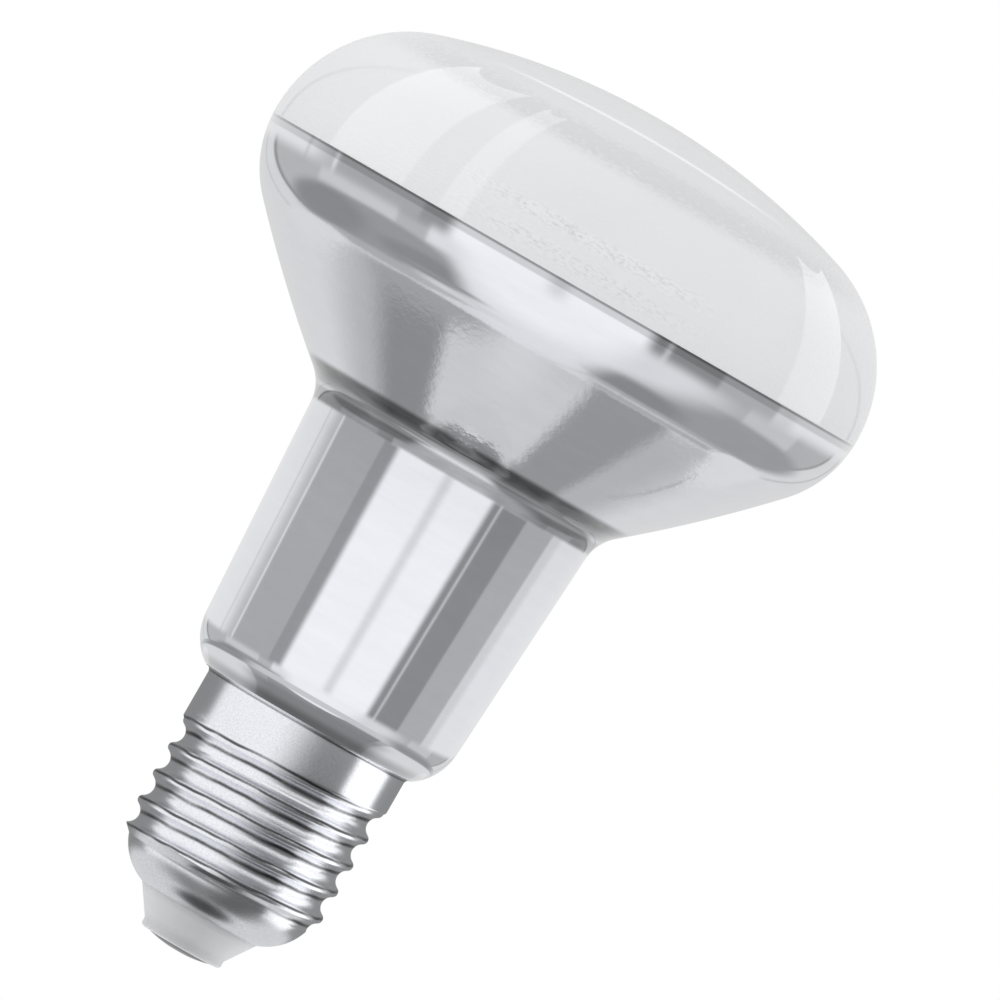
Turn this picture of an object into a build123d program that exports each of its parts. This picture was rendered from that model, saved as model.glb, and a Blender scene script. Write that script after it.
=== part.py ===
"""Reflector bulb: a blown glass envelope, mirrored below and frosted in front, on an E27 screw cap.

Lengths are in millimetres and angles in degrees. The bulb's axis is +Z, and its front is at the top.
The origin is the tip of the centre contact. All but the screw thread is turned about the axis.
"""

import os
from math import asin, atan2, cos, degrees, radians, sin, sqrt, tan

from build123d import *

# Glass envelope
glass_diameter = 80.0
equator_height = 61.6  # from the cap's rim to the widest circle, where the frosted front begins
crown_radius = 87.6  # shallow arc over the front
front_edge_radius = 18.1  # arc from the crown down to the widest circle
bowl_edge_radius = 14.7  # arc from the widest circle into the bowl
bowl_edge_angle = 43.2  # how far that arc turns
bowl_radius = 180.0  # slow curve of the bowl's side
neck_taper = 3.43  # the neck widens this much to each side on its way up to the bowl
neck_overhang = 2.56  # how far the foot of the neck stands out past the glass at the cap's rim
neck_fillet = 5.6  # hollow curve between the neck and the bowl
foot_radius = 7.2  # rounded foot of the neck, down to the cap's rim

# Screw shell, pressed from sheet, with an E27 thread
thread_major_diameter = 26.4
thread_pitch = 3.629
thread_depth = 1.1
crest_radius = 1.025
crest_angle = 25.0  # the crest's arc turns this far to each side, down to the straight flanks
flank_angle = 55.0  # slope of the flanks, measured from the axis
lead_in_angle = 45.0  # slope at which the last turn runs out, measured from the axis
thread_height = 16.2  # from the shoulder up to the collar
thread_turn = 3.0  # angle at which the ridge's lowest end lies
sheet_thickness = 0.4
collar_step = 0.25  # the plain collar stands this far past the thread's crests
collar_height = 5.1
rim_flare = 0.65
rim_height = 0.8
rim_ledge = 0.25  # the glass stands this far past the rim that it sits on
shoulder_height = 4.2
shoulder_radius = 7.0
mouth_diameter = 15.9  # hole in the bottom of the shell, where the insulator comes out

# Insulator, moulded into the shell
insulator_cone_height = 3.65
insulator_lip_diameter = 10.84
insulator_lip_height = 1.0
insulator_lip_rounding = 0.45
insulator_cover = 1.6  # how far the insulator reaches up past the shoulder, inside the shell

# Centre contact, a domed button with a shank through the insulator
contact_diameter = 8.8
contact_height = 0.55
contact_flat_diameter = 3.0
shank_diameter = 3.2

# Clearances
cement_gap = 0.1  # between the glass and the shell around it
moulding_gap = 0.05  # between the insulator and what it is moulded around

# Radii that several pieces share
crest_r = thread_major_diameter / 2
root_r = crest_r - thread_depth
bore_r = root_r - sheet_thickness
collar_r = crest_r + collar_step
collar_bore_r = collar_r - sheet_thickness
rim_r = collar_r + rim_flare
mouth_r = mouth_diameter / 2
shank_r = shank_diameter / 2

# Heights, from the tip of the contact upwards
shell_bottom = contact_height + insulator_lip_height + insulator_cone_height
thread_bottom = shell_bottom + shoulder_height
insulator_top = thread_bottom + insulator_cover
collar_bottom = thread_bottom + thread_height
collar_floor = collar_bottom + sheet_thickness
collar_top = collar_bottom + collar_height
rim_top = collar_top + rim_height
equator_z = rim_top + equator_height

# Inside of the shell's shoulder: a cone one sheet thickness above the line between the shoulder's two ends
shoulder_slope = atan2(shoulder_height, root_r - mouth_r)


def shoulder_inside(radius, gap=0.0):
    """Height of the cone inside the shoulder at a radius, or of a cone this gap above it."""
    lift = (sheet_thickness + gap) / cos(shoulder_slope)
    return shell_bottom + lift + (radius - mouth_r) * tan(shoulder_slope)


def half_section(*outline):
    """Flat face inside a closed outline, drawn with X as the radius and Y as the height."""
    return make_face([edge for stretch in outline for edge in stretch.edges()])


def turned(section):
    """Solid made by turning a half section about the axis."""
    return revolve(Plane.XZ * section, axis=Axis.Z)


def glass_envelope():
    """The sealed bulb as one solid, from the crown of its front down to the insulator inside the cap."""
    glass_r = glass_diameter / 2
    seat_r = rim_r + rim_ledge

    # Front: the crown's arc is centred on the axis and runs on into the front edge's arc
    edge_r = glass_r - front_edge_radius
    crown_z = equator_z - sqrt((crown_radius - front_edge_radius) ** 2 - edge_r**2)
    crown_turn = degrees(asin(edge_r / (crown_radius - front_edge_radius)))
    crown = CenterArc((0, crown_z), crown_radius, 90, -crown_turn)
    front_edge = CenterArc((edge_r, equator_z), front_edge_radius, 90 - crown_turn, crown_turn - 90)

    # Bowl: the edge's arc runs on into the slow curve of the side
    bowl_edge = CenterArc((glass_r - bowl_edge_radius, equator_z), bowl_edge_radius, 0, -bowl_edge_angle)
    outward = Vector(cos(radians(bowl_edge_angle)), -sin(radians(bowl_edge_angle)))
    bowl_centre = bowl_edge @ 1 - outward * bowl_radius

    # Neck: a straight taper up from the foot, as far as it meets the bowl's curve
    taper = radians(neck_taper)
    along_neck = Vector(sin(taper), cos(taper))
    out_of_neck = Vector(cos(taper), -sin(taper))
    neck_base = Vector(seat_r + neck_overhang, rim_top)
    to_base = neck_base - bowl_centre
    middle = -to_base.dot(along_neck)
    throat = neck_base + along_neck * (middle - sqrt(middle**2 - to_base.dot(to_base) + bowl_radius**2))
    throat_angle = degrees(atan2(throat.Y - bowl_centre.Y, throat.X - bowl_centre.X))
    bowl = CenterArc(bowl_centre, bowl_radius, -bowl_edge_angle, throat_angle + bowl_edge_angle)

    # Foot: an arc that leaves the neck smoothly and ends at the cap's rim
    seat = Vector(seat_r, rim_top)
    inset = (neck_base - seat).dot(out_of_neck) - foot_radius
    rise = (seat - neck_base).dot(along_neck) + sqrt(foot_radius**2 - inset**2)
    neck_foot = neck_base + along_neck * rise
    foot_centre = neck_foot - out_of_neck * foot_radius
    foot_end = degrees(atan2(seat.Y - foot_centre.Y, seat.X - foot_centre.X))
    foot = CenterArc(foot_centre, foot_radius, -neck_taper, foot_end + neck_taper)
    neck = Line(throat, neck_foot)

    # Inside the cap: flat on the rim, then down to the insulator
    collar_spigot_r = collar_bore_r - cement_gap
    spigot_r = bore_r - cement_gap
    spigot = Polyline(
        seat,
        (collar_spigot_r, rim_top),
        (collar_spigot_r, collar_floor + cement_gap),
        (spigot_r, collar_floor + cement_gap),
        (spigot_r, insulator_top),
        (0, insulator_top),
        (0, crown_z + crown_radius),
    )
    section = half_section(crown, front_edge, bowl_edge, bowl, neck, foot, spigot)
    corner = section.vertices().sort_by_distance(throat)[0]
    return turned(fillet(corner, neck_fillet))


def threaded_core():
    """Solid rod of the thread's root diameter, with a rounded ridge wound up it past the shell's thread."""
    arc_depth = crest_radius * (1 - cos(radians(crest_angle)))
    arc_width = crest_radius * sin(radians(crest_angle))
    foot_r = root_r - sheet_thickness / 2
    foot_width = arc_width + (crest_r - arc_depth - foot_r) / tan(radians(flank_angle))
    crest = ThreePointArc((crest_r - arc_depth, arc_width), (crest_r, 0), (crest_r - arc_depth, -arc_width))
    sides = Polyline(crest @ 1, (foot_r, -foot_width), (foot_r, foot_width), crest @ 0)

    # The ridge runs its own width past the thread at each end, where the shell's blank trims it
    lowest = thread_bottom - foot_width
    highest = collar_bottom + 2 * foot_width
    helix = Helix(pitch=thread_pitch, height=highest - lowest, radius=foot_r)
    ridge = sweep(Plane.XZ * half_section(crest, sides), path=helix, is_frenet=True)
    upwards = (Align.CENTER, Align.CENTER, Align.MIN)
    core = Pos(0, 0, shell_bottom) * Cylinder(root_r, collar_top - shell_bottom, align=upwards)
    return core + Pos(0, 0, lowest) * Rot(0, 0, thread_turn) * ridge


def screw_shell():
    """Thin pressed shell: flared rim, plain collar, thread and rounded shoulder, open at both ends."""
    # The shoulder rounds the bottom off, and above it the lowest turn of the thread runs out on a cone
    shoulder = RadiusArc((mouth_r, shell_bottom), (root_r, thread_bottom), -shoulder_radius)
    run_out_top = thread_bottom + (collar_r - root_r) / tan(radians(lead_in_angle))
    thread_top = collar_bottom + sheet_thickness / 2
    blank = Polyline(
        (root_r, thread_bottom),
        (collar_r, run_out_top),
        (collar_r, thread_top),
        (0, thread_top),
        (0, shell_bottom),
        (mouth_r, shell_bottom),
    )
    threaded = threaded_core() & turned(half_section(shoulder, blank))

    collar = Polyline(
        (0, collar_bottom),
        (collar_r, collar_bottom),
        (collar_r, collar_top),
        (rim_r, rim_top),
        (0, rim_top),
        close=True,
    )
    hollow = Polyline(
        (0, shell_bottom),
        (mouth_r, shell_bottom),
        (mouth_r, shoulder_inside(mouth_r)),
        (bore_r, shoulder_inside(bore_r)),
        (bore_r, collar_floor),
        (collar_bore_r, collar_floor),
        (collar_bore_r, collar_top),
        (rim_r - sheet_thickness, rim_top),
        (0, rim_top),
        close=True,
    )
    return threaded + turned(half_section(collar)) - turned(half_section(hollow))


def insulator():
    """Cone with a rounded lip below the shell, and a plug that fills the bottom of the shell."""
    lip_r = insulator_lip_diameter / 2
    lip_top = contact_height + insulator_lip_height
    hole_r = shank_r + moulding_gap
    plug_r = bore_r - moulding_gap
    throat_r = mouth_r - moulding_gap
    rounding = insulator_lip_rounding
    lip = CenterArc((lip_r - rounding, contact_height + rounding), rounding, -90, 90)
    sides = Polyline(
        lip @ 1,
        (lip_r, lip_top),
        (throat_r, shell_bottom),
        (throat_r, shoulder_inside(throat_r, moulding_gap)),
        (plug_r, shoulder_inside(plug_r, moulding_gap)),
        (plug_r, insulator_top),
        (hole_r, insulator_top),
        (hole_r, contact_height),
        lip @ 0,
    )
    return turned(half_section(lip, sides))


def centre_contact():
    """Domed button with a small flat at its tip, and the shank that holds it in the insulator."""
    contact_r = contact_diameter / 2
    flat_r = contact_flat_diameter / 2
    dome_radius = (contact_r**2 - flat_r**2 + contact_height**2) / (2 * contact_height)
    dome = RadiusArc((flat_r, 0), (contact_r, contact_height), -dome_radius)
    sides = Polyline(
        dome @ 1,
        (shank_r, contact_height),
        (shank_r, insulator_top),
        (0, insulator_top),
        (0, 0),
        dome @ 0,
    )
    return turned(half_section(dome, sides))


pieces = {
    "glass_envelope": glass_envelope(),
    "screw_shell": screw_shell(),
    "insulator": insulator(),
    "centre_contact": centre_contact(),
}

os.makedirs("parts", exist_ok=True)
for name, piece in pieces.items():
    export_step(piece, f"parts/{name}.step")
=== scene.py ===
"""Dresses the reflector bulb for its picture.

Four pieces stand for the bulb's solids: the glass with its mirror coat and frosted front, the pressed
screw shell, the insulator and the centre contact. Each is drawn as a half outline and turned about the
bulb's axis. Lengths are in millimetres and angles in degrees, and each mesh gets them in metres.
"""

from math import asin, atan2, cos, degrees, floor, pi, radians, sin, sqrt, tan

import bpy
from mathutils import Matrix, Vector


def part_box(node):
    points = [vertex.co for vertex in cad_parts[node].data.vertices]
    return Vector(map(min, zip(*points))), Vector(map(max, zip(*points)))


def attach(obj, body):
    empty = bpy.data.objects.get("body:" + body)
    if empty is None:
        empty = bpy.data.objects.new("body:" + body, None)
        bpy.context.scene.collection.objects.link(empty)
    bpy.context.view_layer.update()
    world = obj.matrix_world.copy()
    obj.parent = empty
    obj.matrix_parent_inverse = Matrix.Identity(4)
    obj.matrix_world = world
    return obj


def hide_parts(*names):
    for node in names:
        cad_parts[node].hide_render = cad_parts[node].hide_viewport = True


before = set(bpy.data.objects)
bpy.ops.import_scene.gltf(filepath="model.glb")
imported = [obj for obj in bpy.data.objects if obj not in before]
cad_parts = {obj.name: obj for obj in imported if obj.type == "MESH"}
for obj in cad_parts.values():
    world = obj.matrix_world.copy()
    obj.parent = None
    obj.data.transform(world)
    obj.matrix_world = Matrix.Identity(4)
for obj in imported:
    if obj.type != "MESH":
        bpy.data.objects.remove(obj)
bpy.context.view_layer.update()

mm = 0.001


def reach(node):
    """A solid's outer radius, its lowest height and its highest height."""
    low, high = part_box(node)
    return min(high.x, high.y) / mm, low.z / mm, high.z / mm


# Sizes that the solids give
glass_radius, insulator_top, _ = reach("glass_envelope")
rim_radius, shell_bottom, rim_top = reach("screw_shell")
plug_radius, lip_bottom, _ = reach("insulator")
contact_radius, contact_tip, _ = reach("centre_contact")

# Glass
equator = rim_top + 61.6
crown_radius = 87.6
front_edge_radius = 18.1
bowl_edge_radius = 14.7
bowl_edge_angle = 43.2
bowl_radius = 180.0
neck_taper = 3.43
neck_overhang = 2.56
neck_fillet = 5.6
foot_radius = 7.2
seat_radius = rim_radius + 0.25
mirror_line = equator - 0.63  # where the mirror coat ends and the frosting begins
cement_gap = 0.1

# Screw shell
shell_thickness = 0.4
crest_radius = 13.2
root_radius = 12.1
thread_pitch = 3.629
crest_rounding = 0.6
thread_turn = 3.0  # angle at which the ridge's lowest end lies
thread_start = 8.12  # height of the crest there
lead_in_angle = 45.0
bore_radius = root_radius - shell_thickness
collar_radius = 13.45
collar_bore_radius = collar_radius - shell_thickness
mouth_radius = 7.95
shoulder_radius = 7.0
thread_bottom = shell_bottom + 4.2
collar_bottom = thread_bottom + 16.2
collar_floor = collar_bottom + shell_thickness
collar_top = rim_top - 0.8
flare_radius = 0.75
flare_turn = 62
rim_rounding = 0.06
last_groove_end = 1500.0  # how far round the thread its last groove has faded out
groove_fade = 60.0
collar_edge = 0.4  # height over which the collar's lower edge rounds in to the last crest

# Insulator and contact
lip_radius = 5.42
lip_top = lip_bottom + 1.0
lip_rounding = 0.45
moulding_gap = 0.05
shank_radius = 1.6
contact_flat_radius = 1.5

sharp_angle = 40  # edges that turn more than this stay sharp


class Pen:
    """One vertex that draws a piece's half outline, with X as the radius and Z as the height."""

    def __init__(self, name, radius, height):
        bpy.ops.object.select_all(action="DESELECT")
        bpy.ops.mesh.primitive_plane_add()
        self.piece = bpy.context.object
        self.piece.name = name
        self.place = Vector((radius, height))
        bpy.ops.object.mode_set(mode="EDIT")
        bpy.ops.mesh.merge(type="CENTER")
        bpy.ops.transform.translate(value=(radius * mm, 0, height * mm))

    def line(self, radius, height, steps=1):
        """Draws straight to a point, in this many steps."""
        step = (Vector((radius, height)) - self.place) / steps
        for _ in range(steps):
            move = (step.x * mm, 0, step.y * mm)
            bpy.ops.mesh.extrude_region_move(TRANSFORM_OT_translate={"value": move})
        self.place = Vector((radius, height))

    def arc(self, centre, turn, steps):
        """Draws an arc about a centre. A positive turn goes from the radius towards the height."""
        centre = Vector(centre)
        middle = (centre.x * mm, 0, centre.y * mm)
        bpy.ops.mesh.spin(steps=steps, angle=radians(turn), center=middle, axis=(0, 1, 0))
        self.place = centre + Matrix.Rotation(radians(turn), 2) @ (self.place - centre)

    def turned(self, steps):
        """Turns the outline about the bulb's axis and returns the closed piece."""
        bpy.ops.mesh.select_all(action="SELECT")
        bpy.ops.mesh.spin(steps=steps, angle=2 * pi, center=(0, 0, 0), axis=(0, 0, 1))
        bpy.ops.mesh.select_all(action="SELECT")
        bpy.ops.mesh.remove_doubles(threshold=0.002 * mm)
        bpy.ops.mesh.normals_make_consistent(inside=False)
        bpy.ops.object.mode_set(mode="OBJECT")
        return self.piece


def bearing(vector):
    """Angle of a direction in the outline's plane, from the radius towards the height."""
    return degrees(atan2(vector.y, vector.x))


def arc_between(start, end, radius):
    """Centre and turn of the arc of this radius that bulges away from the axis between two points."""
    start, end = Vector(start), Vector(end)
    chord = end - start
    side = Vector((-chord.y, chord.x)).normalized()
    centre = (start + end) / 2 + side * sqrt(radius**2 - chord.length_squared / 4)
    return centre, 2 * degrees(asin(chord.length / 2 / radius))


def glass():
    """The blown envelope from its crown down to the cap's rim, and on inside the cap to the insulator."""
    edge_radius = glass_radius - front_edge_radius
    crown_turn = degrees(asin(edge_radius / (crown_radius - front_edge_radius)))
    crown_centre = equator - (crown_radius - front_edge_radius) * cos(radians(crown_turn))
    bowl_edge_centre = Vector((glass_radius - bowl_edge_radius, equator))
    mirror_turn = degrees(asin((equator - mirror_line) / bowl_edge_radius))

    pen = Pen("glass", 0, crown_centre + crown_radius)
    pen.arc((0, crown_centre), -crown_turn, 48)
    pen.arc((edge_radius, equator), crown_turn - 90, 48)
    pen.arc(bowl_edge_centre, -mirror_turn, 3)
    pen.arc(bowl_edge_centre, mirror_turn - bowl_edge_angle, 36)

    # The bowl's slow curve ends on the fillet, a hollow arc that leaves the neck smoothly
    outward = Vector((cos(radians(bowl_edge_angle)), -sin(radians(bowl_edge_angle))))
    bowl_centre = pen.place - outward * bowl_radius
    along_neck = Vector((sin(radians(neck_taper)), cos(radians(neck_taper))))
    out_of_neck = Vector((along_neck.y, -along_neck.x))
    neck_base = Vector((seat_radius + neck_overhang, rim_top))
    beside_neck = neck_base + out_of_neck * neck_fillet - bowl_centre
    middle = -beside_neck.dot(along_neck)
    beyond = (bowl_radius + neck_fillet) ** 2 - beside_neck.length_squared
    fillet_centre = bowl_centre + beside_neck + along_neck * (middle - sqrt(middle**2 + beyond))
    bowl_end = bearing(fillet_centre - bowl_centre)
    pen.arc(bowl_centre, bowl_end + bowl_edge_angle, 36)
    pen.arc(fillet_centre, -neck_taper - bowl_end, 20)

    # The foot is an arc that leaves the neck smoothly and ends at the cap's rim
    seat = Vector((seat_radius, rim_top))
    inset = (neck_base - seat).dot(out_of_neck) - foot_radius
    rise = (seat - neck_base).dot(along_neck) + sqrt(foot_radius**2 - inset**2)
    foot_centre = neck_base + along_neck * rise - out_of_neck * foot_radius
    foot_start = foot_centre + out_of_neck * foot_radius
    pen.line(foot_start.x, foot_start.y, 24)
    pen.arc(foot_centre, bearing(seat - foot_centre) + neck_taper, 24)

    collar_spigot = collar_bore_radius - cement_gap
    spigot = bore_radius - cement_gap
    pen.line(collar_spigot, rim_top)
    pen.line(collar_spigot, collar_floor + cement_gap)
    pen.line(spigot, collar_floor + cement_gap)
    pen.line(spigot, insulator_top)
    pen.line(0, insulator_top)
    return pen.turned(192)


def shoulder_inside(radius, gap=0.0):
    """Height of the cone inside the shell's shoulder at a radius, or of a cone this gap above it."""
    slope = atan2(thread_bottom - shell_bottom, root_radius - mouth_radius)
    return shell_bottom + (shell_thickness + gap) / cos(slope) + (radius - mouth_radius) * tan(slope)


def smooth(value):
    """Eases from 0 to 1 as the value does."""
    value = min(max(value, 0.0), 1.0)
    return value * value * (3 - 2 * value)


def threaded_wall(angle, height):
    """The shell's outer radius from the shoulder to the collar, at an angle in degrees about the axis.

    The thread is a rounded crest and a wider rounded root that run on into each other. The last groove
    fades out into the collar on the far side of the bulb, so the collar's lower edge follows the thread.
    """
    swing = 2 * atan2(crest_radius - root_radius, thread_pitch / 2)
    root_rounding = thread_pitch / 2 / sin(swing) - crest_rounding
    turns = (height - thread_start) / thread_pitch - (angle - thread_turn) / 360
    offset = abs(turns - round(turns)) * thread_pitch
    if offset < crest_rounding * sin(swing):
        radius = crest_radius - crest_rounding + sqrt(crest_rounding**2 - offset**2)
    else:
        across = thread_pitch / 2 - offset
        radius = root_radius + root_rounding - sqrt(root_rounding**2 - across**2)

    along = floor(turns) * 360 + angle
    filled = smooth((along - last_groove_end) / groove_fade + 1)
    filled_below = smooth((along - 360 - last_groove_end) / groove_fade + 1)
    above_crest = smooth((turns - floor(turns)) * thread_pitch / collar_edge)
    radius += (collar_radius - radius) * filled * max(above_crest, filled_below)
    return min(radius, root_radius + (height - thread_bottom) * tan(radians(lead_in_angle)))


def screw_shell():
    """The pressed shell: shoulder, thread, collar and flared rim, open at both ends."""
    pen = Pen("screw_shell", mouth_radius, shell_bottom)
    centre, turn = arc_between(pen.place, (root_radius, thread_bottom), shoulder_radius)
    pen.arc(centre, turn, 20)
    thread_top = collar_bottom + thread_pitch
    pen.line(root_radius, thread_top, 176)
    pen.line(collar_radius, thread_top + 0.1)
    pen.line(collar_radius, collar_top)
    pen.arc((collar_radius + flare_radius, collar_top), -flare_turn, 8)
    pen.line(rim_radius - rim_rounding, rim_top - 2 * rim_rounding)
    pen.arc((rim_radius - rim_rounding, rim_top - rim_rounding), 180, 8)
    pen.line(rim_radius - shell_thickness, rim_top)
    pen.line(collar_bore_radius, collar_top)
    pen.line(collar_bore_radius, collar_floor)
    pen.line(bore_radius, collar_floor)
    pen.line(bore_radius, shoulder_inside(bore_radius))
    pen.line(mouth_radius, shoulder_inside(mouth_radius))
    pen.line(mouth_radius, shell_bottom)
    piece = pen.turned(288)

    for vertex in piece.data.vertices:
        radius = vertex.co.xy.length / mm
        height = vertex.co.z / mm
        if abs(radius - root_radius) < 0.01 and thread_bottom + 0.01 < height:
            angle = degrees(atan2(vertex.co.y, vertex.co.x)) % 360
            vertex.co.xy *= threaded_wall(angle, height) / radius
    return piece


def insulator():
    """The moulded cone with its rounded lip below the shell, and the plug inside the shell."""
    hole_radius = shank_radius + moulding_gap
    throat_radius = mouth_radius - moulding_gap
    pen = Pen("insulator", hole_radius, lip_bottom)
    pen.line(lip_radius - lip_rounding, lip_bottom)
    pen.arc((lip_radius - lip_rounding, lip_bottom + lip_rounding), 90, 8)
    pen.line(lip_radius, lip_top)
    pen.line(throat_radius, shell_bottom, 4)
    pen.line(throat_radius, shoulder_inside(throat_radius, moulding_gap))
    pen.line(plug_radius, shoulder_inside(plug_radius, moulding_gap))
    pen.line(plug_radius, insulator_top)
    pen.line(hole_radius, insulator_top)
    pen.line(hole_radius, lip_bottom)
    return pen.turned(128)


def centre_contact():
    """The domed button with a small flat at its tip, on its shank."""
    drop = lip_bottom - contact_tip
    dome_radius = (contact_radius**2 - contact_flat_radius**2 + drop**2) / (2 * drop)
    pen = Pen("centre_contact", 0, contact_tip)
    pen.line(contact_flat_radius, contact_tip)
    centre, turn = arc_between(pen.place, (contact_radius, lip_bottom), dome_radius)
    pen.arc(centre, turn, 16)
    pen.line(shank_radius, lip_bottom)
    pen.line(shank_radius, insulator_top)
    pen.line(0, insulator_top)
    return pen.turned(96)


class Wire:
    """A value that travels between shader nodes. Arithmetic on it adds the nodes that work it out."""

    def __init__(self, sheet, socket):
        self.sheet = sheet
        self.socket = socket

    def math(self, operation, first, second=0.0):
        """Joins two values, with vectors as soon as one of them is one."""
        pair = [first, second]
        if not any(isinstance(value, Wire) and value.socket.type in ("VECTOR", "RGBA") for value in pair):
            return self.sheet.node("ShaderNodeMath", {"operation": operation}, dict(enumerate(pair)))
        pair = [(value,) * 3 if isinstance(value, (int, float)) else value for value in pair]
        return self.sheet.node("ShaderNodeVectorMath", {"operation": operation}, dict(enumerate(pair)))

    def __add__(self, other):
        return self.math("ADD", self, other)

    def __radd__(self, other):
        return self.math("ADD", other, self)

    def __sub__(self, other):
        return self.math("SUBTRACT", self, other)

    def __rsub__(self, other):
        return self.math("SUBTRACT", other, self)

    def __mul__(self, other):
        return self.math("MULTIPLY", self, other)

    def __rmul__(self, other):
        return self.math("MULTIPLY", other, self)

    def __truediv__(self, other):
        return self.math("DIVIDE", self, other)

    def __rtruediv__(self, other):
        return self.math("DIVIDE", other, self)

    def __pow__(self, other):
        return self.math("POWER", self, other)

    def __abs__(self):
        return self.math("ABSOLUTE", self)


class Sheet:
    """The node tree of one finish, or of the light around the bulb."""

    def __init__(self, tree):
        self.tree = tree
        tree.nodes.clear()

    def node(self, kind, settings, sockets, output=0):
        """Adds a node with its settings and its sockets' values or wires. Returns one of its outputs."""
        node = self.tree.nodes.new(kind)
        for name, value in settings.items():
            setattr(node, name, value)
        for name, value in sockets.items():
            if isinstance(value, Wire):
                self.tree.links.new(value.socket, node.inputs[name])
            else:
                node.inputs[name].default_value = value
        return Wire(self, node.outputs[output]) if node.outputs else None

    def point(self):
        """The Object coordinates."""
        return self.node("ShaderNodeTexCoord", {}, {}, "Object")

    def split(self, vector):
        """A vector's X, Y and Z."""
        first = self.node("ShaderNodeSeparateXYZ", {}, {"Vector": vector})
        return [Wire(self, socket) for socket in first.socket.node.outputs]

    def height(self):
        """Height above the contact's tip, in millimetres."""
        return self.split(self.point())[2] * (1 / mm)

    def noise(self, size, detail=2.0, roughness=0.5, squash=1.0):
        """Soft noise whose patches are about this many millimetres across, and this much less high."""
        point = self.point() * (1.0, 1.0, squash)
        sockets = {"Vector": point, "Scale": 1 / (size * mm), "Detail": detail, "Roughness": roughness}
        return self.node("ShaderNodeTexNoise", {}, sockets)

    def ramp(self, value, start, end, low=0.0, high=1.0):
        """Eases from low to high as the value goes from start to end."""
        if not isinstance(value, Wire):
            return low + smooth((value - start) / (end - start)) * (high - low)
        sockets = {"Value": value, "From Min": start, "From Max": end, "To Min": low, "To Max": high}
        return self.node("ShaderNodeMapRange", {"interpolation_type": "SMOOTHSTEP"}, sockets)

    def between(self, value, limits, edge):
        """1 between the limits and 0 outside them, with edges this soft."""
        low, high = limits
        rise = self.ramp(value, low - edge / 2, low + edge / 2)
        return rise - self.ramp(value, high - edge / 2, high + edge / 2)

    def ring(self, height, middle, reach):
        """1 at a height, easing to 0 this far above and below it."""
        return self.ramp(abs(height - middle), 0, reach, 1, 0)

    def tint(self, share, first, second):
        """A colour between two colours."""
        sockets = {"Factor": share, 6: (*first, 1), 7: (*second, 1)}
        return self.node("ShaderNodeMix", {"data_type": "RGBA"}, sockets, 2)

    def bump(self, height, depth, strength=1.0):
        """Normals of a relief this many millimetres deep."""
        sockets = {"Height": height, "Distance": depth * mm, "Strength": strength}
        return self.node("ShaderNodeBump", {}, sockets)

    def surface(self, **sockets):
        """Ends the tree in one shader, with its sockets named in words joined by underscores."""
        named = {}
        for name, value in sockets.items():
            named[name.replace("_", " ").title().replace("Ior", "IOR")] = value
        shader = self.node("ShaderNodeBsdfPrincipled", {}, named)
        self.node("ShaderNodeOutputMaterial", {}, {"Surface": shader})

    def glow(self, brightness):
        """Ends the tree in plain white light, as bright all over or as a wire says."""
        colour = brightness if isinstance(brightness, Wire) else (brightness,) * 3 + (1,)
        shader = self.node("ShaderNodeEmission", {}, {"Color": colour, "Strength": 1.0})
        self.node("ShaderNodeOutputMaterial", {}, {"Surface": shader})


def finish(name):
    """A new material's empty sheet, and the material."""
    material = bpy.data.materials.new(name)
    material.use_nodes = True
    return Sheet(material.node_tree), material


def grey(value, chill=0.012):
    """A neutral colour, slightly cool."""
    return value * (1 - chill), value * (1 - chill / 2), value * (1 + chill)


def mirrored_glass():
    """Clear glass over the mirror coat inside it, darker just below the mirror line, with painted shade
    where the neck runs into the bowl and at the foot by the rim.
    """
    sheet, material = finish("mirrored_glass")
    height = sheet.height()
    cloud = sheet.noise(16, 2)
    streak = sheet.noise(7, 3, 0.6, 5)
    pebble = sheet.noise(0.9, 2, 0.6)
    edge = sheet.ramp(height, mirror_line - 1.2, mirror_line - 0.9) * 0.3
    edge_line = sheet.ramp(height, mirror_line - 0.4, mirror_line - 0.2) * 0.4
    # Painted shade: the foot darkens towards the cap's rim
    foot = sheet.ramp(height, rim_top + 1.6, rim_top + 0.4) * 0.5

    # Painted shade and dark reflection: two dark bands where the neck runs on into the bowl, and a faint
    # painted shade below them
    upper_band = sheet.between(height, (67.5, 69.8), 0.7) * sheet.ramp(height, 67.4, 69, 0.5, 0.85)
    lower_band = sheet.between(height, (65.5, 67.1), 0.5)
    painted_throat_shade = upper_band * (0.75 + streak * 0.5) + lower_band * (0.3 + streak * 0.35)
    painted_shade_under_bowl = sheet.ramp(height, 52, 66) * sheet.ramp(height, 68, 66) * 0.07
    share = edge + edge_line + painted_throat_shade + painted_shade_under_bowl + foot + cloud * 0.04 + streak * 0.1
    on_bowl = sheet.between(height, (69.5, 84), 3)
    sheet.surface(
        base_color=sheet.tint(share, grey(0.99, 0.033), grey(0.1, 0.04)),
        metallic=1.0,
        roughness=0.06 + pebble * 0.03,
        normal=sheet.bump(cloud * 0.5 + pebble * on_bowl * 0.2, 0.06),
        coat_weight=1.0,
        coat_roughness=0.02,
    )
    return material


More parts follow.
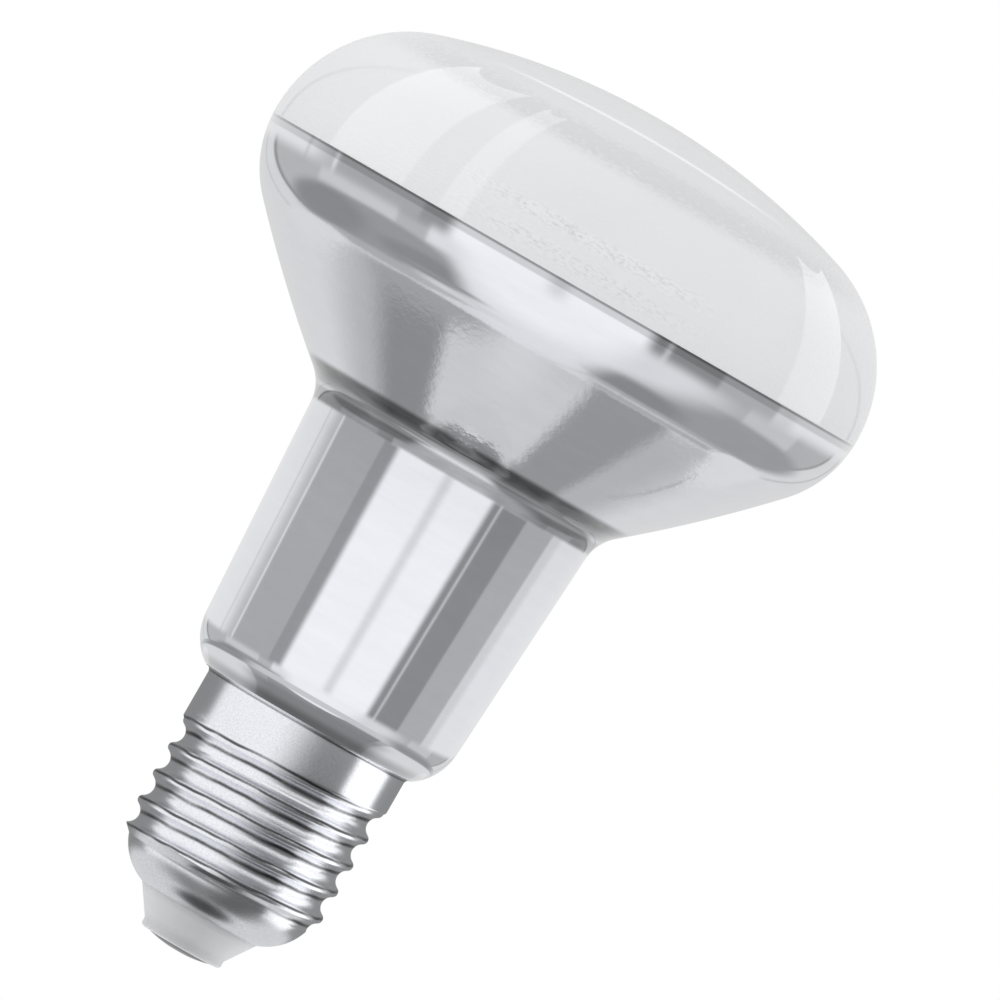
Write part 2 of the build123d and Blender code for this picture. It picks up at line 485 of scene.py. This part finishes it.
def frosted_glass():
    """Clear glass over the white frosting inside it, with bands of pebbled grain at front and back, whose
    light and dark specks are painted shading, and a painted darker reflection in the upper band.
    """
    sheet, material = finish("frosted_glass")
    height = sheet.height()
    pebble = sheet.noise(0.75, 2, 0.6, 2.5)
    cloud = sheet.noise(11, 2)
    aside = abs(sheet.split(sheet.point())[0]) * (1 / mm)
    # The upper band is also darker, a painted reflection, most at front and back
    upper = sheet.ring(height, 108.2, 2.4) * sheet.ramp(aside, 20, 34, 1, 0.3)
    lower = sheet.ring(height, 97.9, 1.3) + sheet.ring(height, 94.6, 1.6) * 0.8
    lower = lower * sheet.ramp(aside, 6, 20, 1, 0)
    crown = sheet.ramp(height, 104, 112) * 0.35
    middle = sheet.ramp(height, 94, 103) * 0.2
    share = upper * 0.75 + crown + cloud * 0.12 + middle
    # The pebbled grain is the glass's own; its light and dark specks in the colour are painted shading of
    # its relief
    share = share + (pebble - 0.5) * (upper * 2.2 + lower * 4.6 + 0.12)
    sheet.surface(
        base_color=sheet.tint(share, grey(0.9, 0.018), grey(0.7, 0.018)),
        roughness=0.55 + pebble * 0.1,
        specular_ior_level=0.2,
        normal=sheet.bump(pebble, 0.03),
        coat_weight=1.0,
        coat_ior=1.7,
        coat_roughness=0.01,
    )
    return material


def satin_shell():
    """Satin metal with a fine grain. Painted shade makes a dark line on each side of the thread's crest and
    one at the rim.
    """
    sheet, material = finish("satin_shell")
    height = sheet.height()
    grain = sheet.noise(0.22, 2, 0.7)
    cloud = sheet.noise(5, 2)
    wobble = sheet.noise(5, 1, 0.5, 0.4)
    right, away, _ = sheet.split(sheet.point())
    angle = right.math("ARCTAN2", away, right) * (180 / pi)
    turns = (height - thread_start) / thread_pitch - (angle - thread_turn) / 360
    above_crest = turns.math("FRACT", turns + (wobble - 0.5) * 0.13) * thread_pitch
    # Painted shade: a dark line just above each crest of the thread and another below it, on the flank
    painted_flank_shade = sheet.ring(above_crest, 0.2, 0.3) * (0.2 + wobble * 1.6)
    painted_flank_shade = painted_flank_shade + sheet.ring(above_crest, thread_pitch - 1.27, 0.4) * (1.5 - wobble * 1.1)
    painted_flank_shade = painted_flank_shade * sheet.between(height, (thread_bottom + 0.6, collar_bottom + 0.3), 0.6)
    # Painted shade: a dark line round the rim
    rim = sheet.ring(height, rim_top - 0.42, 0.24) * 0.7
    share = cloud * 0.1 + (grain - 0.5) * 0.5 + painted_flank_shade + rim
    sheet.surface(
        base_color=sheet.tint(share, grey(0.9, 0.03), grey(0.1, 0.04)),
        metallic=1.0,
        roughness=0.19 + grain * 0.08 + cloud * 0.04,
        normal=sheet.bump(grain * 0.14 + wobble * 0.8, 0.05),
    )
    return material


def moulded_insulator():
    """Smooth light grey moulding with a faint sheen."""
    sheet, material = finish("moulded_insulator")
    cloud = sheet.noise(3, 2)
    grain = sheet.noise(0.2, 1)
    sheet.surface(
        base_color=sheet.tint(cloud, grey(0.92), grey(0.87)),
        roughness=0.2 + grain * 0.06,
        normal=sheet.bump(grain, 0.003),
    )
    return material


def dull_contact():
    """Dull bare metal, rubbed brighter at the tip."""
    sheet, material = finish("dull_contact")
    cloud = sheet.noise(1.2, 3)
    sheet.surface(
        base_color=sheet.tint(cloud, grey(0.3), grey(0.15)),
        metallic=1.0,
        roughness=sheet.ramp(sheet.height(), contact_tip, lip_bottom, 0.25, 0.4) + cloud * 0.05,
        normal=sheet.bump(cloud, 0.01),
    )
    return material


def add_piece(piece, node, materials):
    """Lets a piece stand for its solid, with smooth shading but for its sharp edges."""
    bpy.ops.object.select_all(action="DESELECT")
    piece.select_set(True)
    bpy.context.view_layer.objects.active = piece
    bpy.ops.object.shade_smooth_by_angle(angle=radians(sharp_angle))
    for material in materials:
        piece.data.materials.append(material)
    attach(piece, "root")
    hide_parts(node)
    return piece


def frost_front(piece):
    """Gives the faces in front of the mirror line the second of the glass's two finishes."""
    for face in piece.data.polygons:
        if face.center.z > mirror_line * mm:
            face.material_index = 1


# The studio's light, one patch over another. Each is placed where the glass shows it to the camera, by how
# far the glass there is turned to the right and tilted up: its shape, the turns and the tilts that it spans,
# how soft its edges are and how bright it is. An edge is in degrees for a box, and a share of the size for
# the others. A line is the outline of an oval at its left and right ends, and an arch is the upper half of a
# line. A pane is a box with rounded corners.
studio_exposure = 0.8
pane_squareness = 13

# What the bowl shows
bowl_level = 0.87
bowl_patches = [
    ("left outer contour", "line", (-81, 29), (-49, 33), 0.02, 0.72),
    ("right outer contour", "line", (-20, 82), (-46, 20), 0.025, 0.64),
    ("low walls", "box", (-46, 50), (-70, -42.5), (20, 3), 0.6),
    ("left dark, below", "box", (-33, -14.5), (-70, -42), (10, 3), 0.34),
    ("right dark, below", "box", (15, 33), (-70, -41.5), (5, 2), 0.4),
    ("front, below", "box", (-15.5, 15), (-70, -43), (4, 3), 0.79),
    ("right seam, below", "line", (22, 50), (-48.5, -42), 0.05, 0.4),
    ("left wall", "oval", (-74, 14), (-40, 24), 0.03, 0.61),
    ("right wall", "oval", (-14.5, 74.5), (-38, 18), 0.03, 0.58),
    ("left contour", "line", (-74, 14), (-40, 24), 0.04, 0.34),
    ("right contour", "line", (-14.5, 74.5), (-38, 18), 0.03, 0.38),
    ("left panel", "box", (-53, -32), (-19.5, -5.5), (1, 2), 0.62),
    ("left panel's foot", "box", (-53, -32), (-19.5, -12), (1, 5), 0.77),
    ("left gap", "box", (-32, -25), (-13, -5), (2, 4), 0.5),
    ("narrow panel", "box", (-25, -15), (-19, -5), (1, 4), 0.98),
    ("right gap", "box", (21, 43), (-13.5, -5), (5, 5), 0.54),
    ("right panel", "box", (43, 58), (-22, -5), (1, 3), 0.72),
    ("left lens", "oval", (-60, -14), (-37, -18.5), 0.28, 0.42),
    ("left lens's end", "oval", (-60, -38), (-36, -19.5), 0.7, 0.34),
    ("left lens's tip", "oval", (-34, -12), (-34, -25), 0.8, 0.34),
    ("right lens", "oval", (15, 67), (-38, -19), 0.34, 0.43),
    ("front glow", "oval", (-18, 36), (-29, 0), 0.6, 0.9),
    ("right lens's end", "oval", (11, 33), (-38, -28), 0.9, 0.33),
    ("front light", "oval", (-18.5, 18), (-43, 20), 0.34, 0.98),
    ("front light's core", "oval", (-18, 17), (-30, 14), 0.5, 1.14),
    ("left streak", "box", (-28, -11), (-32.8, -31.2), (9, 1), 0.4),
    ("left light streak", "box", (-24, -6), (-36.5, -34), (12, 1.5), 0.86),
    ("left low band", "box", (-50, -24), (-39.5, -35.5), (9, 2), 0.55),
    ("left low streak", "box", (-46, -18), (-42.4, -39.8), (14, 1.5), 0.72),
    ("right low band", "box", (14, 52), (-41.5, -36), (5, 2), 0.53),
    ("right low streak", "box", (12, 46), (-39, -37.8), (8, 1), 0.72),
    ("left notch", "oval", (-38, -7), (-44.3, -40.8), 0.8, 0.47),
    ("left low patch", "oval", (-64, -42), (-44, -36.5), 0.5, 0.9),
    ("right low patch", "oval", (44, 62), (-45, -36.5), 0.3, 0.92),
]

# What the front shows
front_patches = [
    ("upper walls", "box", (-100, 100), (-1.9, 100), (1, 0.5), 1.02),
    ("right front fill", "box", (5, 42), (14, 40), (20, 20), 1.3),
    ("overhead", "box", (-100, 100), (66, 100), (1, 16), 0.9),
    ("contour on the front", "arch", (-76, 76), (-60, 56), 0.02, 0.62),
]

# What the neck shows, by how far it is turned to the right and by height. Its wall shows the light at one
# height all the way up, and its foot shows the light further down, on the lid of the cap's tent.
wall_height = 50.0
wall_tilts = (-15, -8)  # the studio's light goes over from the bowl's to the neck's between these
drawn_in_heights = (31.5, 27)  # towards the rim the light draws in, from the first height to the second
drawn_in_share = 0.25
neck_level = 1.0
neck_patches = [
    ("left line", "box", (-59.5, -58.5), (38, 62), (1, 10), 0.78),
    ("left wall", "box", (-55, -25), (0, 80), (10, 1), 0.64),
    ("left strip", "box", (-49, -28), (0, 80), (1.2, 1), 0.52),
    ("left dark", "box", (-28, 4), (0, 80), (1, 1), 0.4),
    ("right wall", "box", (15, 54), (0, 80), (4, 1), 0.84),
    ("right strip", "box", (20, 48.5), (0, 80), (1.2, 1), 0.55),
    ("right dark", "box", (0, 34), (0, 80), (1, 1), 0.34),
    ("light line", "box", (21.7, 22.7), (36, 60), (0.8, 10), 0.72),
    ("left edge line", "box", (-50.4, -49.4), (36, 62), (0.8, 8), 0.95),
    ("left corner", "oval", (-91, -37), (19, 34.3), 0.1, 0.9),
    ("right corner", "oval", (37, 91), (19, 34.3), 0.1, 0.9),
    ("front light", "pane", (-21.5, 18.5), (30.1, 64.5), 0.16, 1.18),
    ("seam in the front light", "box", (-1, 1), (31, 63.7), (5, 1.2), 0.7),
    ("dark by the rim", "box", (-40, 40), (0, 29.6), (24, 1.6), 0.3),
]

# Softboxes that the front shows: the turns they span at the widest circle and at their upper end, that end's
# tilt, and how many degrees it is hollowed
softboxes = [
    ("left softbox", (-53.2, -33.7), (-45.6, -28.6), 64, 7),
    ("narrow softbox", (-25.6, -20.6), (-22.5, -17.5), 63, 4),
    ("right softbox", (46.8, 60.8), (47.4, 57.4), 59, 4),
]
softbox_light = 1.9
softbox_edge = (-0.2, 0.2)
front_begins = (-2.0, -1.8)  # tilts between which the softboxes begin

# A thin line of light near the crown: its tilt in the middle, how it bends down to the sides, how far it
# fades above and below and how far out at its ends, and how bright it is
crown_line_tilt = 75.5
crown_line_bend = 0.0012
crown_line_edge = (0.1, 0.6)
crown_line_ends = (25, 60)
crown_line_light = 0.65

# The light on the cap: the angles to the right of the camera that each wall spans, how soft its edges are
# and how bright it is
cap_level = 0.27
cap_walls = [
    ("left wall", (-74, 40), 10, 0.98),
    ("dark front", (2, 60), 38, 0.26),
    ("right strip", (46, 82), 3, 1.35),
]
cap_behind = 0.9
cap_behind_angles = (128, 150)
cap_overhead = 1.05
cap_ground = 0.5
under_light = 2.15

# The cap's tent, and its light as the glass sees it from outside
tent_radius = 20.5
tent_bottom = -40
tent_lid = rim_top - 0.02
louvre_radius = rim_radius + 1.2
louvre_count = 36
louvre_thickness = 0.03
foot_turn = 1.2875  # turn of the foot that shows a place on the lid, as a share of the place's angle
foot_turn_loss = 0.0215  # how much that share falls with each millimetre out from the axis
foot_light_reach = 19.5  # radius at which the lid's light is the neck's at the rim's height
foot_light_end = (18.9, 18.3)  # the lid's light goes over from plain to the neck's between these radii
outer_level = 0.76
outer_shade = 0.38


def facing(sheet, towards):
    """How far a surface is turned to the right and tilted up where the camera sees this direction in it."""
    half = sheet.node("ShaderNodeVectorMath", {"operation": "NORMALIZE"}, {0: towards - (0, 1, 0)})
    right, away, up = sheet.split(half)
    return right.math("ARCTAN2", right, 0 - away) * (180 / pi), up.math("ARCSINE", up) * (180 / pi)


def patch_share(sheet, turn, tilt, shape, turns, tilts, edge):
    """1 on a patch and 0 beside it."""
    if shape == "box":
        return sheet.between(turn, turns, edge[0]) * sheet.between(tilt, tilts, edge[1])
    across = (turn - sum(turns) / 2) * (2 / (turns[1] - turns[0]))
    along = (tilt - sum(tilts) / 2) * (2 / (tilts[1] - tilts[0]))
    squared = along * along
    if shape == "pane":
        squared = squared**pane_squareness
    out = across.math("SQRT", across * across + squared)
    if shape in ("oval", "pane"):
        return sheet.ramp(out, 1 + edge / 2, 1 - edge / 2)
    share = sheet.ring(out, 1, edge) * sheet.ramp(abs(across), 0.4, 0.65)
    if shape == "arch":
        share = share * sheet.ramp(along, -0.01, 0.01)
    return share


def patched_light(sheet, turn, tilt, level, patches):
    """Brightness for a turn and a tilt: a level with patches laid over it one after another."""
    light = level
    for _, *form, brightness in patches:
        light = light + patch_share(sheet, turn, tilt, *form) * (brightness - light)
    return light


def neck_light(sheet, turn, height):
    """Brightness that the neck shows for a turn and a height. It draws in towards the rim."""
    turn = turn * (1 + sheet.ramp(height, *drawn_in_heights) * drawn_in_share)
    return patched_light(sheet, turn, height, neck_level, neck_patches)


def softbox_share(sheet, turn, tilt, turns, end_turns, end, hollow):
    """1 where the glass shows a softbox, whose upper end is hollowed."""
    bend = tilt * tilt * (1 / end**2)
    past_left = turn - (turns[0] + bend * (end_turns[0] - turns[0]))
    before_right = turns[1] + bend * (end_turns[1] - turns[1]) - turn
    across = past_left / (past_left + before_right)
    before_end = end - across * (1 - across) * (4 * hollow) - tilt
    share = sheet.ramp(past_left, *softbox_edge) * sheet.ramp(before_right, *softbox_edge)
    return share * sheet.ramp(before_end, *softbox_edge) * sheet.ramp(tilt, *front_begins)


def studio():
    """Lights the glass with what the bowl, the neck and the front show, the softboxes and a crown line."""
    world = bpy.data.worlds.new("studio")
    bpy.context.scene.world = world
    world.use_nodes = True
    sheet = Sheet(world.node_tree)
    turn, tilt = facing(sheet, sheet.node("ShaderNodeTexCoord", {}, {}, "Generated"))
    light = patched_light(sheet, turn, tilt, bowl_level, bowl_patches)
    light = light + sheet.ramp(tilt, *wall_tilts) * (neck_light(sheet, turn, wall_height) - light)
    light = patched_light(sheet, turn, tilt, light, front_patches)
    for _, *form in softboxes:
        light = light + softbox_share(sheet, turn, tilt, *form) * (softbox_light - light)

    off_line = abs(tilt + turn * turn * crown_line_bend - crown_line_tilt)
    line = sheet.ramp(off_line, *crown_line_edge, 1, 0) * sheet.ramp(abs(turn), *crown_line_ends, 1, 0)
    colour = (light + line * crown_line_light) * studio_exposure
    shader = sheet.node("ShaderNodeBackground", {}, {"Color": colour, "Strength": 1.0})
    sheet.node("ShaderNodeOutputWorld", {}, {"Surface": shader})


def set_stage(piece, material, seen):
    """Gives a piece of the floor, backdrop or light its material. The camera sees it, or else only the
    bulb's surfaces do.
    """
    piece.data.materials.append(material)
    piece.visible_camera = seen
    piece.visible_diffuse = not seen
    piece.visible_glossy = not seen
    piece.visible_transmission = not seen
    piece.visible_shadow = not seen


def place(sheet):
    """A point's angle to the right of the camera, its distance from the bulb's axis and its height."""
    right, away, height = (part * (1 / mm) for part in sheet.split(sheet.point()))
    aside = right.math("ARCTAN2", right, 0 - away) * (180 / pi)
    return aside, right.math("SQRT", right * right + away * away), height


def cap_light(sheet):
    """Brightness inside the cap's tent, by the place and by whether it is seen from below."""
    aside, across, height = place(sheet)
    light = cap_level
    for _, angles, edge, brightness in cap_walls:
        light = light + sheet.between(aside, angles, edge) * (brightness - light)
    behind = sheet.ramp(abs(aside), *cap_behind_angles)
    light = light + behind * (cap_behind - light)

    # Low down it is dark in front
    low = sheet.ramp(abs(aside), 25, 75, 0.24, 0.72)
    light = light + sheet.ramp(height, 6, 3) * (low - light)

    # The louvres are darker on top at the right, and bright underneath but for their inner edges
    upright = sheet.split(sheet.node("ShaderNodeNewGeometry", {}, {}, "Normal"))[2]
    dark_top = sheet.ramp(upright, 0.8, 0.9) * sheet.between(aside, (2, 52), 30)
    off_edge = sheet.ramp(across, louvre_radius + 0.6, louvre_radius + 1.0)
    underneath = sheet.ramp(upright, -0.8, -0.9) * off_edge
    light = light * (1 - dark_top * 0.45)
    light = light + underneath * (sheet.between(aside, (-70, 90), 20) + behind) * (cap_overhead - light)
    ground = sheet.ramp(across, 15, 20, 0.05, cap_ground)
    return light + sheet.ramp(height, tent_bottom + 4, tent_bottom + 2) * (ground - light)


def from_front_or_back(sheet, aside):
    """Folds the angles behind the bulb over to the front, so that the back is lit as the front is."""
    behind = sheet.ramp(abs(aside), 89.9, 90.1)
    side = sheet.ramp(aside, -1, 1, -1, 1)
    return aside + behind * (side * 180 - aside * 2)


def outer_light(sheet):
    """Brightness of the cap's tent as the glass sees it from outside.

    It is dark beside the front. Near the neck's foot the lid goes on with what the neck shows.
    """
    aside, across, _ = place(sheet)
    shade = sheet.ramp(abs(aside), 36, 52) * sheet.ramp(abs(aside), 110, 80)
    plain = outer_level - shade * outer_shade
    turn = from_front_or_back(sheet, aside) * (foot_turn - across * foot_turn_loss)
    by_foot = neck_light(sheet, turn, rim_top - foot_light_reach + across)
    return (plain + sheet.ramp(across, *foot_light_end) * (by_foot - plain)) * studio_exposure


def cap_tent():
    """A small light tent round the cap, which the camera doesn't see. Its lid keeps the glass's light out.

    Louvres inside it are bright underneath, so what faces up on the cap shows light wherever it is.
    """
    sheet, material = finish("cap_tent")
    inside = cap_light(sheet)
    outside = outer_light(sheet)
    from_inside = sheet.node("ShaderNodeNewGeometry", {}, {}, "Backfacing")
    sheet.glow(outside + from_inside * (inside - outside))
    pen = Pen("cap_tent", rim_radius + 0.03, tent_lid)
    pen.line(tent_radius, tent_lid)
    pen.line(tent_radius, tent_bottom)
    pen.line(0, tent_bottom)
    set_stage(pen.turned(96), material, False)

    sheet, material = finish("cap_louvres")
    sheet.glow(cap_light(sheet))
    outer_radius = tent_radius - 0.2
    pen = Pen("cap_louvres", outer_radius, collar_bottom)
    for drop in range(louvre_count):
        height = collar_bottom - drop
        pen.line(outer_radius, height)
        pen.line(louvre_radius, height)
        pen.line(outer_radius, height - louvre_thickness)
    set_stage(pen.turned(96), material, False)

    sheet, material = finish("under_light")
    sheet.glow(under_light)
    pen = Pen("under_light", 0, tent_bottom + 5)
    pen.line(tent_radius - 2, tent_bottom + 5)
    lamp = pen.turned(96)
    set_stage(lamp, material, False)
    lamp.visible_glossy = False


def white_sweep():
    """The plain white floor and the white all round it, which the bulb's surfaces don't reflect."""
    sheet, material = finish("white_sweep")
    sheet.glow(1.0)
    floor_radius, surround_radius = 4000 * mm, 6000 * mm
    below = (0, 0, -0.02 * mm)
    bpy.ops.object.select_all(action="DESELECT")
    bpy.ops.mesh.primitive_circle_add(vertices=96, radius=floor_radius, fill_type="NGON", location=below)
    floor_sheet = bpy.context.object
    floor_sheet.name = "floor"
    bpy.ops.mesh.primitive_uv_sphere_add(segments=64, ring_count=32, radius=surround_radius)
    surround = bpy.context.object
    surround.name = "surround"
    set_stage(floor_sheet, material, True)
    set_stage(surround, material, True)


def camera():
    """A long lens, level with the widest part of the glass, rolled so that the bulb leans to the right."""
    distance = 2500
    picture_width = 119.37
    roll = radians(29.9)
    eye = Vector((0, -distance, mirror_line))
    aim = Vector((6.55, 0, 65.83))
    ahead = (aim - eye).normalized()
    right = Vector((cos(roll), 0, sin(roll)))
    right = (right - ahead * right.dot(ahead)).normalized()
    above = right.cross(ahead)
    bpy.ops.object.camera_add()
    view = bpy.context.object
    view.name = "camera"
    view.matrix_world = Matrix.Translation(eye * mm) @ Matrix((right, above, -ahead)).transposed().to_4x4()
    view.data.sensor_width = 36
    view.data.lens = view.data.sensor_width * distance / picture_width
    view.data.clip_end = 100
    bpy.context.scene.camera = view


envelope = add_piece(glass(), "glass_envelope", [mirrored_glass(), frosted_glass()])
frost_front(envelope)
add_piece(screw_shell(), "screw_shell", [satin_shell()])
add_piece(insulator(), "insulator", [moulded_insulator()])
add_piece(centre_contact(), "centre_contact", [dull_contact()])

white_sweep()
cap_tent()
studio()
camera()
bpy.context.scene.view_settings.view_transform = "Standard"
